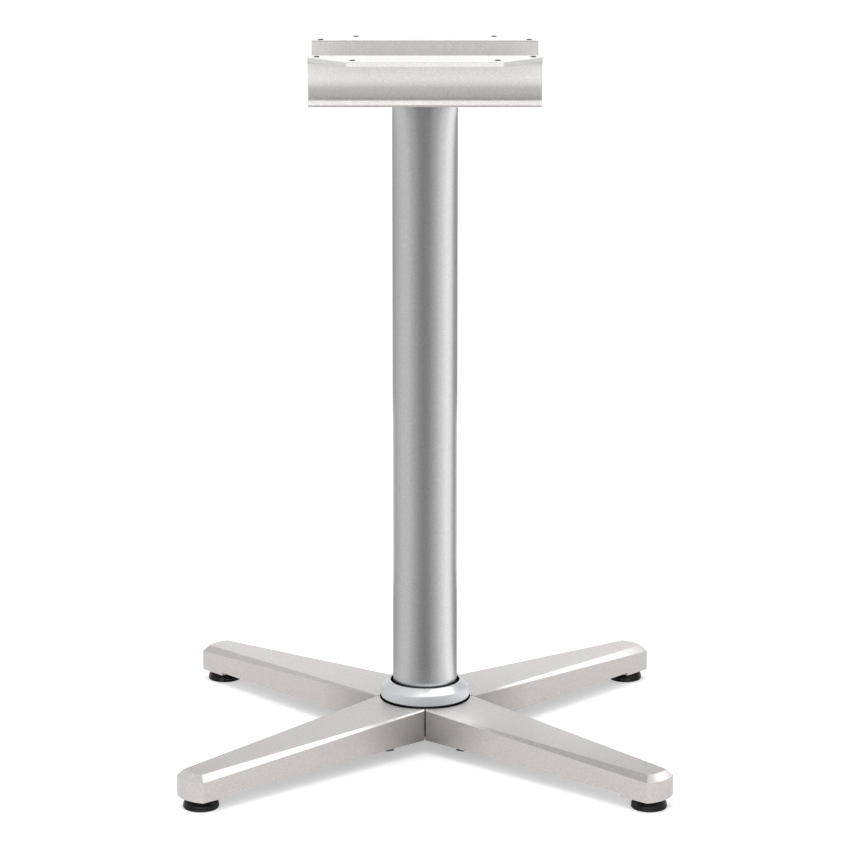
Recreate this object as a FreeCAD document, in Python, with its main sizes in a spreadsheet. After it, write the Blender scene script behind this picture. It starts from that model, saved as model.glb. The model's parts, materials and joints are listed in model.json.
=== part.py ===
import FreeCAD, Part
import math
import os

import Sketcher
from FreeCAD import Placement, Rotation, Vector

# Four star table base, in millimetres.
# Origin on the floor under the column, +Z up, legs along the diagonals, bracket channel along X.

DOC = FreeCAD.newDocument("FourStarTableBase")
SHEET = DOC.addObject("Spreadsheet::Sheet", "Sizes")

# Driving dimensions: alias, value, meaning.
DIMENSIONS = [
    # Legs
    ("leg_reach", 320.8, "axis to the nose corners, along the leg"),
    ("leg_root_half", 36.8, "half width of the leg carried back to the axis"),
    ("leg_tip_half", 19.1, "half width at the nose corners"),
    ("leg_root_top", 47.55, "height of the top face carried back to the axis"),
    ("leg_tip_top", 37.9, "height of the top face at the nose corners"),
    ("leg_root_bevel", 0.4, "bevel of the long edges carried back to the axis"),
    ("leg_tip_bevel", 6.2, "bevel of the long edges at the nose corners"),
    ("nose_depth", 5.1, "how far the curved nose stands past its corners"),
    ("nose_angle", 120.0, "degrees of the turned cut that shapes the nose"),
    ("leg_edge", 14.4, "height of the lower edge of the leg"),
    ("glide_height", 11.3, "floor to the foot block that the glide screws into"),
    ("foot_block_start", 288.0, "axis to the inner face of the foot block"),
    ("leg_wall", 4.5, "side walls of the leg casting"),
    ("leg_roof", 5.0, "top wall of the leg casting"),
    ("rib_width", 3.5, "ribs under the leg"),
    ("rib_recess", 4.0, "ribs stop this far above the lower edge"),
    ("cross_ribs", 4, "number of cross ribs in the long cavity"),
    ("seam_gap", 0.8, "gap between neighbouring legs at the mitre"),
    ("seam_wall", 7.0, "wall along the mitre faces"),
    ("hub_core", 30.0, "axis to the hub cavity, solid inside that"),
    ("hub_cavity_end", 88.0, "axis to the far end of the hub cavity"),
    ("hub_roof", 8.0, "thickness over the hub cavity"),
    ("boss_radius", 9.5, "bolt bosses in the hub cavity"),
    # Hub plate and its bolts
    ("plate_reach", 82.0, "axis to the end of each arm of the hub plate"),
    ("plate_half", 26.0, "half width of each arm of the hub plate"),
    ("plate_thick", 5.0, "thickness of the hub plate"),
    ("plate_rise", 0.2, "hub plate above the lower edge of the legs"),
    ("plate_clearance", 0.6, "gap round the hub plate in the legs"),
    ("plate_corner", 6.0, "corner radius of the hub plate"),
    ("bolt_reach", 69.0, "axis to the hub bolts, along the leg"),
    ("bolt_side", 15.4, "hub bolts to the middle line of the leg"),
    ("bolt_radius", 4.0, "thread radius of the small bolts"),
    ("bolt_flats", 13.0, "across flats of the small bolts"),
    ("bolt_head", 5.3, "head height of the small bolts"),
    ("hub_bolt_length", 20.0, "shank of the hub bolts"),
    ("washer_radius", 7.4, "outer radius of the lock washers"),
    ("washer_thick", 1.6, "thickness of the small washers"),
    ("lock_split", 1.0, "split in each lock washer"),
    ("bolt_clearance", 0.25, "radial gap round a bolt"),
    ("thread_depth", 3.0, "tapped depth past the end of a bolt"),
    ("centre_radius", 6.0, "thread radius of the centre bolt"),
    ("centre_flats", 18.0, "across flats of the centre bolt"),
    ("centre_head", 7.5, "head height of the centre bolt"),
    ("centre_engage", 12.0, "centre bolt length inside the column foot"),
    ("centre_washer_radius", 14.0, "outer radius of the centre washer"),
    ("centre_washer_thick", 2.5, "thickness of the centre washer"),
    # Column and collar
    ("column_radius", 32.5, "outer radius of the column tube"),
    ("column_wall", 2.0, "wall of the column tube"),
    ("column_length", 610.8, "length of the column tube"),
    ("foot_flange_thick", 4.0, "thickness of the flange of the column foot"),
    ("spigot_height", 18.0, "spigot that enters the tube"),
    ("spigot_clearance", 0.15, "radial gap between spigot and tube"),
    ("collar_width", 12.5, "collar's outer wall past the column"),
    ("collar_gap", 1.0, "collar above the legs"),
    ("collar_wall", 2.0, "thickness of the collar round the flange"),
    ("collar_wall_height", 11.6, "straight outer wall of the collar"),
    ("collar_chamfer_rise", 5.9, "height of the chamfer above that wall"),
    ("collar_rim", 2.0, "width of the flat ring on top of the collar"),
    ("collar_clearance", 3.5, "radial gap between collar and column"),
    ("collar_seat_gap", 0.4, "radial gap between collar and flange"),
    # Head of the base
    ("head_half", 113.5, "half length of the bracket and its plate"),
    ("channel_half", 64.7, "half width of the channel, outside"),
    ("top_plate_thick", 8.6, "plate under the bracket"),
    ("top_plate_round", 2.5, "round of the long edges of that plate"),
    ("channel_wall", 4.5, "walls, web and flanges of the bracket"),
    ("channel_height", 41.6, "height of the bracket"),
    ("flange_reach", 116.0, "axis to the outer edge of a flange"),
    ("flange_end", 13.3, "width of a flange where its cut corner meets the end"),
    ("flange_cove", 3.5, "cove between a flange and the outer wall"),
    ("flange_lip", 1.5, "round of the inner top edges of the channel"),
    ("foot_cove", 5.5, "cove inside the foot of the channel"),
    ("foot_recess", 3.5, "foot of the channel in from its outer wall"),
    ("foot_rise", 16.0, "height of the slope down to that foot"),
    ("foot_blend", 60.0, "radius between that slope and the wall"),
    ("screw_hole", 2.75, "radius of the screw holes"),
    ("inner_hole_corner", 5.8, "inner screw holes back from the corner of a flange"),
    ("inner_hole_edge", 17.0, "inner screw holes in from the edge of a flange"),
    ("outer_hole_end", 8.9, "outer screw holes in from the end of the bracket"),
    ("outer_hole_wall", 6.3, "outer screw holes out from the channel"),
    ("head_bolt_end", 33.5, "bracket bolts in from the end of the bracket"),
    ("head_bolt_wall", 26.7, "bracket bolts in from the outside of the channel"),
    ("head_bolt_length", 13.8, "shank of the bracket bolts"),
    # Glides
    ("glide_inset", 13.9, "nose corners back to the middle of the glide"),
    ("glide_radius", 17.7, "widest radius of the glide"),
    ("glide_sole", 15.7, "radius that stands on the floor"),
    ("glide_rim_base", 1.4, "height where the glide is first at its widest"),
    ("glide_rim_top", 3.2, "height where the dome starts"),
    ("glide_shoulder", 14.4, "radius where the dome turns in"),
    ("glide_shoulder_drop", 3.1, "that turn below the flat top of the glide"),
    ("glide_crown", 10.0, "radius of the flat top of the glide"),
    ("glide_gap", 0.3, "glide below the foot block when screwed home"),
    ("stud_radius", 5.0, "thread radius of the glide stud"),
    ("stud_clearance", 0.3, "radial gap round the stud in the leg"),
    ("stud_top", 31.0, "top of the stud above the floor"),
    ("stud_chamfer", 1.0, "chamfer at the top of the stud"),
    ("stud_flats", 16.0, "across flats of the head of the stud, inside the glide"),
    ("stud_head_base", 3.6, "underside of that head"),
    ("stud_head_thick", 3.0, "thickness of that head"),
    # Cuts
    ("cut_margin", 5.0, "how far a cut starts or ends outside the piece"),
]

# The quarter of the plan that each leg lies in, by the signs of X and Y.
QUARTERS = {"front_left": (-1, -1), "front_right": (1, -1), "rear_left": (-1, 1), "rear_right": (1, 1)}
LEGS = [(name, math.degrees(math.atan2(y, x))) for name, (x, y) in QUARTERS.items()]
SAME_PLACE = 0.01
NODES = []


def fill_sheet():
    for row, (alias, value, meaning) in enumerate(DIMENSIONS, start=1):
        SHEET.set(f"A{row}", meaning)
        SHEET.set(f"B{row}", str(value))
        SHEET.setAlias(f"B{row}", alias)
    DOC.recompute()


def val(expression):
    return float(SHEET.evalExpression(expression))


def size(alias):
    return f"Sizes.{alias}"


fill_sheet()

# Levels and places worked out from the driving dimensions


def along_leg(root, tip, distance):
    return f"({root} + ({tip} - {root}) * ({distance}) / Sizes.leg_reach)"


def half_at(distance):
    return along_leg(size("leg_root_half"), size("leg_tip_half"), distance)


def top_at(distance):
    return along_leg(size("leg_root_top"), size("leg_tip_top"), distance)


def bevel_at(distance):
    return along_leg(size("leg_root_bevel"), size("leg_tip_bevel"), distance)


MARGIN = size("cut_margin")
COLLAR_RADIUS = "(Sizes.column_radius + Sizes.collar_width)"
FLANGE_RADIUS = f"({COLLAR_RADIUS} - Sizes.collar_wall - Sizes.collar_seat_gap)"
SEAT = top_at(COLLAR_RADIUS)
PLATE_BASE = "(Sizes.leg_edge + Sizes.plate_rise)"
PLATE_TOP = f"({PLATE_BASE} + Sizes.plate_thick)"
HUB_CEILING = f"({SEAT} - Sizes.hub_roof)"
RIB_BASE = "(Sizes.leg_edge + Sizes.rib_recess)"
CAVITY_START = "(Sizes.hub_cavity_end + Sizes.leg_wall)"
CAVITY_END = "(Sizes.foot_block_start - Sizes.leg_wall)"
GLIDE_REACH = "(Sizes.leg_reach - Sizes.glide_inset)"
NOSE_RADIUS = "((Sizes.leg_tip_half ^ 2 + Sizes.nose_depth ^ 2) / (2 * Sizes.nose_depth))"
SEAM_OFFSET = "(Sizes.seam_gap / sqrt(2))"
TUBE_BASE = f"({SEAT} + Sizes.foot_flange_thick)"
HEAD_BASE = f"({TUBE_BASE} + Sizes.column_length)"
WEB_BASE = f"({HEAD_BASE} + Sizes.top_plate_thick)"
WEB_TOP = f"({WEB_BASE} + Sizes.channel_wall)"
TOP_LEVEL = f"({WEB_BASE} + Sizes.channel_height)"
FLANGE_CUT = "(Sizes.flange_reach - Sizes.channel_half - Sizes.flange_end)"
INNER_HOLE = (f"(Sizes.head_half - {FLANGE_CUT} - Sizes.inner_hole_corner)",
              "(Sizes.flange_reach - Sizes.inner_hole_edge)")
OUTER_HOLE = ("(Sizes.head_half - Sizes.outer_hole_end)", "(Sizes.channel_half + Sizes.outer_hole_wall)")
HEAD_BOLT = ("(Sizes.head_half - Sizes.head_bolt_end)", "(Sizes.channel_half - Sizes.head_bolt_wall)")


# Ways of making a body


def make_body(label):
    body = DOC.addObject("PartDesign::Body", label)
    body.Label = label
    return body


def base_plane(body, role):
    return [plane for plane in body.Origin.OriginFeatures if plane.Role == role][0]


def make_sketch(body, name, role, offset="0"):
    sketch = body.newObject("Sketcher::SketchObject", f"{body.Name}_{name}")
    sketch.AttachmentSupport = [(base_plane(body, role), "")]
    sketch.MapMode = "FlatFace"
    sketch.setExpression("AttachmentOffset.Base.z", offset)
    return sketch


def pin_point(sketch, geometry, vertex, point):
    for kind, expression in zip(("DistanceX", "DistanceY"), point):
        rule = Sketcher.Constraint(kind, -1, 1, geometry, vertex, val(expression))
        index = sketch.addConstraint(rule)
        sketch.setExpression(f"Constraints[{index}]", expression)


def draw_polygon(sketch, corners):
    first = sketch.GeometryCount
    count = len(corners)
    spots = [Vector(val(x), val(y), 0) for x, y in corners]
    for index in range(count):
        sketch.addGeometry(Part.LineSegment(spots[index], spots[(index + 1) % count]), False)
    for index in range(count):
        following = first + (index + 1) % count
        sketch.addConstraint(Sketcher.Constraint("Coincident", first + index, 2, following, 1))
    for index, corner in enumerate(corners):
        pin_point(sketch, first + index, 1, corner)


def draw_circle(sketch, centre, radius):
    spot = Vector(val(centre[0]), val(centre[1]), 0)
    index = sketch.addGeometry(Part.Circle(spot, Vector(0, 0, 1), val(radius)), False)
    pin_point(sketch, index, 3, centre)
    rule = sketch.addConstraint(Sketcher.Constraint("Radius", index, val(radius)))
    sketch.setExpression(f"Constraints[{rule}]", radius)


def draw_rectangle(sketch, x_low, x_high, y_low, y_high):
    draw_polygon(sketch, [(x_low, y_low), (x_high, y_low), (x_high, y_high), (x_low, y_high)])


def add_feature(body, kind, name, sketch):
    feature = body.newObject(f"PartDesign::{kind}", f"{body.Name}_{name}")
    feature.Profile = sketch
    return feature


def extrude(body, kind, name, sketch, length, symmetric=False, reverse=False):
    feature = add_feature(body, kind, name, sketch)
    feature.setExpression("Length", length)
    feature.Reversed = reverse
    if symmetric:
        feature.SideType = "Symmetric"
    return feature


def turn(body, kind, name, sketch):
    feature = add_feature(body, kind, name, sketch)
    feature.ReferenceAxis = (sketch, ["V_Axis"])
    return feature


def loft(body, kind, name, sketches):
    feature = add_feature(body, kind, name, sketches[0])
    feature.Sections = sketches[1:]
    feature.Ruled = True
    return feature


def finish(body):
    NODES.append(body)
    return body


# Legs


def leg_section(body, name, distance):
    half = half_at(distance)
    bevel = bevel_at(distance)
    top = top_at(distance)
    shoulder = f"({top} - {bevel})"
    crest = f"({half} - {bevel})"
    base = size("glide_height")
    sketch = make_sketch(body, name, "YZ_Plane", distance)
    draw_polygon(sketch, [
        (f"-{half}", base), (half, base), (half, shoulder),
        (crest, top), (f"-{crest}", top), (f"-{half}", shoulder),
    ])
    return sketch


def cavity_section(body, name, distance):
    half = f"({half_at(distance)} - Sizes.leg_wall)"
    ceiling = f"({top_at(distance)} - Sizes.leg_roof)"
    sketch = make_sketch(body, name, "YZ_Plane", distance)
    draw_rectangle(sketch, f"-{half}", half, f"Sizes.glide_height - {MARGIN}", ceiling)
    return sketch


def cut_nose(body):
    # One turned cut makes the upright curve of the nose and the bevel over it.
    reach = "Sizes.leg_reach + Sizes.nose_depth"
    low = f"Sizes.glide_height - {MARGIN}"
    high = f"Sizes.leg_root_top + {MARGIN}"
    shoulder = "(Sizes.leg_tip_top - Sizes.leg_tip_bevel)"
    bevel_run = f"({high} - {shoulder})"
    far = f"({NOSE_RADIUS} + 2 * Sizes.leg_tip_half)"
    sketch = make_sketch(body, "nose_profile", "XZ_Plane")
    sketch.setExpression("AttachmentOffset.Base.x", f"{reach} - {NOSE_RADIUS}")
    draw_polygon(sketch, [
        (NOSE_RADIUS, low), (far, low), (far, high),
        (f"{NOSE_RADIUS} - {bevel_run}", high), (NOSE_RADIUS, shoulder),
    ])
    groove = turn(body, "Groove", "nose", sketch)
    groove.setExpression("Angle", "Sizes.nose_angle")
    groove.Midplane = True


def cut_mitre(body):
    wide = "(2 * Sizes.leg_root_half)"
    sketch = make_sketch(body, "mitre_outline", "XY_Plane")
    draw_polygon(sketch, [
        (SEAM_OFFSET, "0"), (f"{SEAM_OFFSET} + {wide}", wide), (f"-{MARGIN}", wide),
        (f"-{MARGIN}", f"-{wide}"), (f"{SEAM_OFFSET} + {wide}", f"-{wide}"),
    ])
    extrude(body, "Pocket", "mitre", sketch, "2 * Sizes.leg_root_top", reverse=True)


def cut_seat(body):
    sketch = make_sketch(body, "seat_outline", "XY_Plane", SEAT)
    draw_circle(sketch, ("0", "0"), COLLAR_RADIUS)
    extrude(body, "Pocket", "seat", sketch, MARGIN, reverse=True)


def cut_lower_edge(body):
    sketch = make_sketch(body, "edge_outline", "XZ_Plane")
    draw_rectangle(sketch, f"-{MARGIN}", size("foot_block_start"),
                   f"Sizes.glide_height - {MARGIN}", size("leg_edge"))
    extrude(body, "Pocket", "lower_edge", sketch, "4 * Sizes.leg_root_half", symmetric=True)


def cut_hub_cavity(body):
    wall = "(Sizes.seam_wall * sqrt(2))"
    core_half = f"(Sizes.hub_core - {SEAM_OFFSET} - {wall})"
    taper = "((Sizes.leg_root_half - Sizes.leg_tip_half) / Sizes.leg_reach)"
    knee = f"((Sizes.leg_root_half - Sizes.leg_wall + {SEAM_OFFSET} + {wall}) / (1 + {taper}))"
    knee_half = f"({knee} - {SEAM_OFFSET} - {wall})"
    end = size("hub_cavity_end")
    end_half = f"({half_at(end)} - Sizes.leg_wall)"
    sketch = make_sketch(body, "hub_cavity_outline", "XY_Plane", HUB_CEILING)
    draw_polygon(sketch, [
        (size("hub_core"), core_half), (size("hub_core"), f"-{core_half}"),
        (knee, f"-{knee_half}"), (end, f"-{end_half}"), (end, end_half), (knee, knee_half),
    ])
    extrude(body, "Pocket", "hub_cavity", sketch, HUB_CEILING)


def cut_long_cavity(body):
    sections = [
        cavity_section(body, "cavity_start", CAVITY_START),
        cavity_section(body, "cavity_end", CAVITY_END),
    ]
    loft(body, "SubtractiveLoft", "long_cavity", sections)


def add_cross_ribs(body):
    count = int(val("Sizes.cross_ribs"))
    for index in range(1, count + 1):
        share = f"{index} / (Sizes.cross_ribs + 1)"
        place = f"({CAVITY_START} + ({CAVITY_END} - {CAVITY_START}) * {share})"
        half = f"({half_at(place)} - Sizes.leg_wall / 2)"
        ceiling = f"({top_at(place)} - Sizes.leg_roof / 2)"
        sketch = make_sketch(body, f"cross_rib_outline_{index}", "YZ_Plane", place)
        draw_rectangle(sketch, f"-{half}", half, RIB_BASE, ceiling)
        extrude(body, "Pad", f"cross_rib_{index}", sketch, "Sizes.rib_width", symmetric=True)


def add_long_rib(body):
    start = "(Sizes.hub_core - Sizes.rib_width / 2)"
    end = "(Sizes.foot_block_start - Sizes.leg_wall / 2)"
    sketch = make_sketch(body, "long_rib_outline", "XZ_Plane")
    draw_polygon(sketch, [
        (start, RIB_BASE), (end, RIB_BASE), (end, f"{top_at(end)} - Sizes.leg_roof / 2"),
        (start, f"{HUB_CEILING} + Sizes.hub_roof / 2"),
    ])
    extrude(body, "Pad", "long_rib", sketch, "Sizes.rib_width", symmetric=True)


def add_bolt_bosses(body):
    sketch = make_sketch(body, "boss_outline", "XY_Plane", PLATE_TOP)
    for sign in ("", "-"):
        draw_circle(sketch, ("Sizes.bolt_reach", f"{sign}Sizes.bolt_side"), "Sizes.boss_radius")
    extrude(body, "Pad", "bosses", sketch, f"{HUB_CEILING} + Sizes.hub_roof / 2 - {PLATE_TOP}")


def cut_plate_recess(body):
    reach = "(Sizes.plate_reach + Sizes.plate_clearance)"
    half = "(Sizes.plate_half + Sizes.plate_clearance)"
    sketch = make_sketch(body, "recess_outline", "XY_Plane", PLATE_TOP)
    draw_rectangle(sketch, f"-{MARGIN}", reach, f"-{half}", half)
    extrude(body, "Pocket", "plate_recess", sketch, PLATE_TOP)


def cut_leg_holes(body):
    tapped = make_sketch(body, "tapped_holes", "XY_Plane", PLATE_TOP)
    for sign in ("", "-"):
        draw_circle(tapped, ("Sizes.bolt_reach", f"{sign}Sizes.bolt_side"),
                    "Sizes.bolt_radius + Sizes.bolt_clearance")
    inside = "Sizes.hub_bolt_length - Sizes.washer_thick - Sizes.plate_thick"
    extrude(body, "Pocket", "tapping", tapped, f"{inside} + Sizes.thread_depth", reverse=True)
    centre = make_sketch(body, "centre_hole", "XY_Plane")
    draw_circle(centre, ("0", "0"), "Sizes.centre_radius + Sizes.bolt_clearance")
    extrude(body, "Pocket", "centre_bore", centre, "2 * Sizes.leg_root_top", reverse=True)
    stud = make_sketch(body, "stud_hole", "XY_Plane", f"Sizes.glide_height - {MARGIN}")
    draw_circle(stud, (GLIDE_REACH, "0"), "Sizes.stud_radius + Sizes.stud_clearance")
    depth = f"Sizes.stud_top - Sizes.glide_height + {MARGIN} + Sizes.thread_depth / 2"
    extrude(body, "Pocket", "stud_bore", stud, depth, reverse=True)


def make_leg(name, angle):
    body = make_body(f"leg_{name}")
    past_nose = "(Sizes.leg_reach + 2 * Sizes.nose_depth)"
    loft(body, "AdditiveLoft", "casting", [
        leg_section(body, "root_section", "0"),
        leg_section(body, "tip_section", past_nose),
    ])
    cut_nose(body)
    cut_mitre(body)
    cut_seat(body)
    cut_lower_edge(body)
    cut_hub_cavity(body)
    cut_long_cavity(body)
    add_cross_ribs(body)
    add_long_rib(body)
    add_bolt_bosses(body)
    cut_plate_recess(body)
    cut_leg_holes(body)
    body.Placement = Placement(Vector(0, 0, 0), Rotation(Vector(0, 0, 1), angle))
    return finish(body)


# Hub plate, bolts and washers


def make_hub_plate():
    body = make_body("hub_plate")
    reach = size("plate_reach")
    half = size("plate_half")
    corners = [
        (reach, f"-{half}"), (reach, half), (half, half), (half, reach),
        (f"-{half}", reach), (f"-{half}", half), (f"-{reach}", half), (f"-{reach}", f"-{half}"),
        (f"-{half}", f"-{half}"), (f"-{half}", f"-{reach}"), (half, f"-{reach}"), (half, f"-{half}"),
    ]
    outline = make_sketch(body, "outline", "XY_Plane", PLATE_BASE)
    draw_polygon(outline, corners)
    plate = extrude(body, "Pad", "plate", outline, "Sizes.plate_thick")
    DOC.recompute()
    round_upright_edges(body, plate, "corners", "Sizes.plate_corner", f"{reach} - Sizes.plate_corner")
    holes = make_sketch(body, "holes", "XY_Plane", PLATE_BASE)
    hole_radius = "Sizes.bolt_radius + Sizes.bolt_clearance"
    for first, second in ((1, 1), (1, -1), (-1, 1), (-1, -1)):
        place = (f"{first} * Sizes.bolt_reach", f"{second} * Sizes.bolt_side")
        draw_circle(holes, place, hole_radius)
        draw_circle(holes, (place[1], place[0]), hole_radius)
    draw_circle(holes, ("0", "0"), "Sizes.centre_radius + Sizes.bolt_clearance")
    extrude(body, "Pocket", "bolt_holes", holes, "Sizes.plate_thick", reverse=True)
    body.Placement = Placement(Vector(0, 0, 0), Rotation(Vector(0, 0, 1), 45))
    return finish(body)


def round_upright_edges(body, base, name, radius, least_reach):
    chosen = []
    for index, edge in enumerate(base.Shape.Edges, start=1):
        box = edge.BoundBox
        upright = max(box.XLength, box.YLength) < SAME_PLACE
        reach = max(abs(box.Center.x), abs(box.Center.y))
        if upright and reach > val(least_reach):
            chosen.append(f"Edge{index}")
    fillet = body.newObject("PartDesign::Fillet", f"{body.Name}_{name}")
    fillet.Base = (base, chosen)
    fillet.setExpression("Radius", radius)
    return fillet


def hexagon(flats):
    radius = f"({flats} / sqrt(3))"
    return [(f"{radius} * cos({60 * index})", f"{radius} * sin({60 * index})") for index in range(6)]


def draw_bolt(body, flats, head, radius, length):
    # The bolt points up, with the underside of its head at the origin.
    top = make_sketch(body, "head_outline", "XY_Plane", f"-{head}")
    draw_polygon(top, hexagon(flats))
    extrude(body, "Pad", "head", top, head)
    shank = make_sketch(body, "shank_outline", "XY_Plane")
    draw_circle(shank, ("0", "0"), radius)
    extrude(body, "Pad", "shank", shank, length)


def draw_washer(body, outer, inner, thick):
    outline = make_sketch(body, "outline", "XY_Plane")
    draw_circle(outline, ("0", "0"), outer)
    draw_circle(outline, ("0", "0"), inner)
    extrude(body, "Pad", "ring", outline, thick)


def spread(label, master, places, height, flip=False):
    # Equal fasteners are one group of separate solids.
    copies = []
    for index, (x, y) in enumerate(places, start=1):
        copy = DOC.addObject("App::Link", f"{label}_{index}")
        copy.LinkedObject = master
        copy.Placement = Placement(Vector(0, 0, 0), Rotation(Vector(1, 0, 0), 180 if flip else 0))
        copy.setExpression("Placement.Base.x", x)
        copy.setExpression("Placement.Base.y", y)
        copy.setExpression("Placement.Base.z", height)
        copies.append(copy)
    group = DOC.addObject("Part::Compound", label)
    group.Label = label
    group.Links = copies
    return finish(group)


def hub_bolt_places():
    places = []
    for name, angle in LEGS:
        for side in (1, -1):
            reach = "Sizes.bolt_reach"
            offset = f"{side} * Sizes.bolt_side"
            x = f"{reach} * cos({angle}) - {offset} * sin({angle})"
            y = f"{reach} * sin({angle}) + {offset} * cos({angle})"
            places.append((x, y))
    return places


def make_hub_fasteners():
    bolt = make_body("hub_bolt_pattern")
    draw_bolt(bolt, "Sizes.bolt_flats", "Sizes.bolt_head", "Sizes.bolt_radius", "Sizes.hub_bolt_length")
    washer = make_body("lock_washer_pattern")
    inner = "(Sizes.bolt_radius + Sizes.bolt_clearance)"
    draw_washer(washer, "Sizes.washer_radius", inner, "Sizes.washer_thick")
    split = make_sketch(washer, "split_outline", "XY_Plane")
    draw_rectangle(split, "0", "2 * Sizes.washer_radius", "-Sizes.lock_split / 2", "Sizes.lock_split / 2")
    extrude(washer, "Pocket", "split", split, "Sizes.washer_thick", reverse=True)
    under_plate = f"{PLATE_BASE} - Sizes.washer_thick"
    spread("hub_bolts", bolt, hub_bolt_places(), under_plate)
    spread("hub_lock_washers", washer, hub_bolt_places(), under_plate)


def make_centre_bolt():
    base = f"({PLATE_BASE} - Sizes.centre_washer_thick)"
    bolt = make_body("centre_bolt")
    length = f"{TUBE_BASE} - {base} + Sizes.centre_engage"
    draw_bolt(bolt, "Sizes.centre_flats", "Sizes.centre_head", "Sizes.centre_radius", length)
    bolt.setExpression("Placement.Base.z", base)
    finish(bolt)
    washer = make_body("centre_washer")
    inner = "(Sizes.centre_radius + Sizes.bolt_clearance)"
    draw_washer(washer, "Sizes.centre_washer_radius", inner, "Sizes.centre_washer_thick")
    washer.setExpression("Placement.Base.z", base)
    finish(washer)


# Column, its foot and the collar


def make_column_tube():
    body = make_body("column_tube")
    outline = make_sketch(body, "outline", "XY_Plane", TUBE_BASE)
    draw_circle(outline, ("0", "0"), "Sizes.column_radius")
    draw_circle(outline, ("0", "0"), "Sizes.column_radius - Sizes.column_wall")
    extrude(body, "Pad", "wall", outline, "Sizes.column_length")
    return finish(body)


def make_column_foot():
    body = make_body("column_foot")
    bore = "(Sizes.centre_radius + Sizes.bolt_clearance)"
    spigot = "(Sizes.column_radius - Sizes.column_wall - Sizes.spigot_clearance)"
    spigot_top = f"{TUBE_BASE} + Sizes.spigot_height"
    profile = make_sketch(body, "profile", "XZ_Plane")
    draw_polygon(profile, [
        (bore, SEAT), (FLANGE_RADIUS, SEAT), (FLANGE_RADIUS, TUBE_BASE),
        (spigot, TUBE_BASE), (spigot, spigot_top), (bore, spigot_top),
    ])
    turn(body, "Revolution", "turned", profile)
    return finish(body)


def make_trim_collar():
    body = make_body("trim_collar")
    bore = "(Sizes.column_radius + Sizes.collar_clearance)"
    recess = f"({FLANGE_RADIUS} + Sizes.collar_seat_gap)"
    base = f"({SEAT} + Sizes.collar_gap)"
    wall_top = f"({base} + Sizes.collar_wall_height)"
    top = f"({wall_top} + Sizes.collar_chamfer_rise)"
    profile = make_sketch(body, "profile", "XZ_Plane")
    draw_polygon(profile, [
        (recess, base), (COLLAR_RADIUS, base), (COLLAR_RADIUS, wall_top),
        (f"{bore} + Sizes.collar_rim", top), (bore, top),
        (bore, TUBE_BASE), (recess, TUBE_BASE),
    ])
    turn(body, "Revolution", "turned", profile)
    return finish(body)


# Head: top plate, bracket and their bolts


def four_places(place):
    return [(f"{first} * {place[0]}", f"{second} * {place[1]}")
            for first in (1, -1) for second in (1, -1)]


def make_top_plate():
    body = make_body("top_plate")
    outline = make_sketch(body, "outline", "XY_Plane", HEAD_BASE)
    draw_rectangle(outline, "-Sizes.head_half", "Sizes.head_half",
                   "-Sizes.channel_half", "Sizes.channel_half")
    shape = extrude(body, "Pad", "plate", outline, "Sizes.top_plate_thick")
    DOC.recompute()
    for name, level in (("lower_round", HEAD_BASE), ("upper_round", WEB_BASE)):
        shape = round_long_edges(body, shape, name, size("channel_half"), level, "Sizes.top_plate_round")
    holes = make_sketch(body, "holes", "XY_Plane", HEAD_BASE)
    for place in four_places(HEAD_BOLT):
        draw_circle(holes, place, "Sizes.bolt_radius + Sizes.bolt_clearance")
    extrude(body, "Pocket", "tapped_holes", holes, "Sizes.top_plate_thick", reverse=True)
    return finish(body)


def long_edges(shape, y, z):
    # Edges along X at a corner of the section, on both sides.
    chosen = []
    for index, edge in enumerate(shape.Edges, start=1):
        box = edge.BoundBox
        straight = max(box.YLength, box.ZLength) < SAME_PLACE
        if straight and abs(abs(box.Center.y) - y) < SAME_PLACE and abs(box.Center.z - z) < SAME_PLACE:
            chosen.append(f"Edge{index}")
    return chosen


def round_long_edges(body, base, name, y, z, radius):
    fillet = body.newObject("PartDesign::Fillet", f"{body.Name}_{name}")
    fillet.Base = (base, long_edges(base.Shape, val(y), val(z)))
    fillet.setExpression("Radius", radius)
    DOC.recompute()
    return fillet


def make_table_bracket():
    # An extruded channel: flanges outwards, and walls that draw in towards the foot.
    body = make_body("table_bracket")
    thick = size("channel_wall")
    outer = size("channel_half")
    inner = f"({outer} - {thick})"
    edge = size("flange_reach")
    under = f"({TOP_LEVEL} - {thick})"
    knee = f"({WEB_BASE} + Sizes.foot_rise)"
    section = make_sketch(body, "section", "YZ_Plane")
    right = [
        (edge, TOP_LEVEL), (edge, under), (outer, under), (outer, knee),
        (f"({outer} - Sizes.foot_recess)", WEB_BASE),
    ]
    left = [(f"-{y}", z) for y, z in reversed(right)]
    inside = [
        (f"-{inner}", TOP_LEVEL), (f"-{inner}", WEB_TOP), (inner, WEB_TOP), (inner, TOP_LEVEL),
    ]
    draw_polygon(section, right + left + inside)
    shape = extrude(body, "Pad", "channel", section, "2 * Sizes.head_half", symmetric=True)
    DOC.recompute()
    shape = round_long_edges(body, shape, "under_flange", outer, under, "Sizes.flange_cove")
    shape = round_long_edges(body, shape, "over_flange", inner, TOP_LEVEL, "Sizes.flange_lip")
    shape = round_long_edges(body, shape, "inside_foot", inner, WEB_TOP, "Sizes.foot_cove")
    round_long_edges(body, shape, "outside_foot", outer, knee, "Sizes.foot_blend")
    cut_bracket_corners(body)
    cut_bracket_holes(body)
    return finish(body)


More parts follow.
